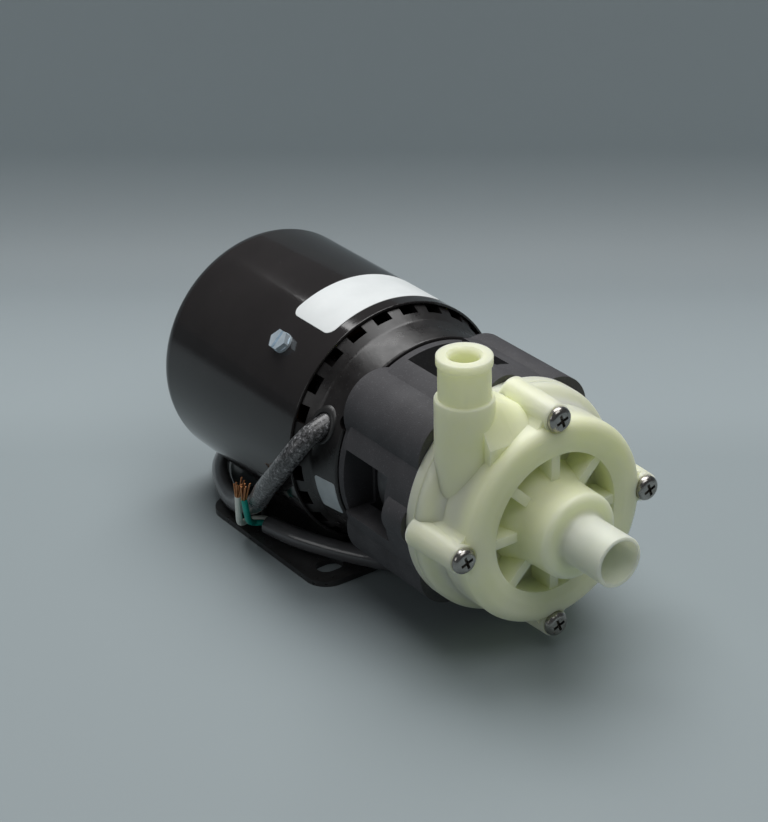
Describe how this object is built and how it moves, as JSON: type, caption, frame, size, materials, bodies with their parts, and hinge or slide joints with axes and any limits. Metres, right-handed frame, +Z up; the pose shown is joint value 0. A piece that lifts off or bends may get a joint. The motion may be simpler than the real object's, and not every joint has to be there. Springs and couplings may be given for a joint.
{
  "type": "magnetic_drive_pump",
  "caption": "Magnetic drive pump: plastic pump head with a front inlet stub and upright outlet, black bracket and motor on a slotted foot plate, with a bare-ended cord",
  "frame": {"origin": "Middle of the foot's slot pattern, on the underside of the foot plate.", "axes": "+Z is up from the foot plate. The shaft runs along Y, with the inlet at -Y and the motor's closed back at +Y. +X is to the right seen from the inlet; the outlet stands on the -X side."},
  "size_m": [0.0929, 0.2043, 0.1027],
  "materials": {
    "black_enamel": "semi-gloss black enamel on pressed steel",
    "black_casting": "satin black paint on cast alloy",
    "grommet_plastic": "matte black",
    "zinc_steel": "zinc-plated steel",
    "bearing_bronze": "sintered bronze",
    "lamination_steel": "dull laminated steel",
    "winding_copper": "enamelled copper wire",
    "ground_steel": "ground",
    "label_paper": "blank white label",
    "label_foil": "blank silver-grey label",
    "black_plastic": "moulded, satin",
    "cast_aluminium": "as cast",
    "magnet_ferrite": "dull dark grey",
    "natural_plastic": "natural polypropylene, slightly translucent",
    "seal_rubber": "smooth",
    "white_ceramic": "ground",
    "carbon": "dull",
    "cord_jacket": "satin, dusty where it leaves the bell",
    "lead_white": "satin",
    "lead_green": "satin",
    "lead_black": "satin",
    "bare_copper": "bare copper strands"
  },
  "bodies": {
    "pump_base": {"motor_shell": "black_enamel", "front_end_bell": "black_casting", "cord_grommet": "grommet_plastic", "rear_end_bell": "black_casting", "through_bolts": "zinc_steel", "front_bearing": "bearing_bronze", "rear_bearing": "bearing_bronze", "stator_core": "lamination_steel", "stator_coils": "winding_copper", "shell_screws": "zinc_steel", "shell_label": "label_paper", "bell_label": "label_foil", "motor_bracket": "black_plastic", "bracket_screws": "zinc_steel", "rear_housing": "natural_plastic", "housing_o_ring": "seal_rubber", "spindle": "white_ceramic", "rear_thrust_washer": "white_ceramic", "front_thrust_washer": "white_ceramic", "front_housing": "natural_plastic", "cover_screws": "zinc_steel", "foot_plate": "black_enamel", "motor_saddle": "black_enamel", "saddle_screws": "zinc_steel", "power_cord": "cord_jacket", "white_lead": "lead_white", "green_lead": "lead_green", "black_lead": "lead_black", "copper_strands": "bare_copper"},
    "motor_rotor": {"motor_shaft": "ground_steel", "rotor_core": "lamination_steel", "cooling_fan": "black_plastic", "drive_hub": "cast_aluminium", "hub_set_screw": "zinc_steel", "drive_magnet": "magnet_ferrite"},
    "impeller_rotor": {"impeller": "natural_plastic", "driven_magnet": "magnet_ferrite", "impeller_bushing": "carbon"}
  },
  "joints": [
    {"name": "motor_spin", "type": "hinge", "parent": "pump_base", "child": "motor_rotor", "pos_m": [0, -0.02, 0.045], "axis": [0, -1, 0], "continuous": true},
    {"name": "impeller_spin", "type": "hinge", "parent": "pump_base", "child": "impeller_rotor", "pos_m": [0, -0.08, 0.045], "axis": [0, -1, 0], "continuous": true}
  ],
  "couplings": [
    {"joint": "impeller_spin", "follows": "motor_spin", "ratio": 1}
  ]
}
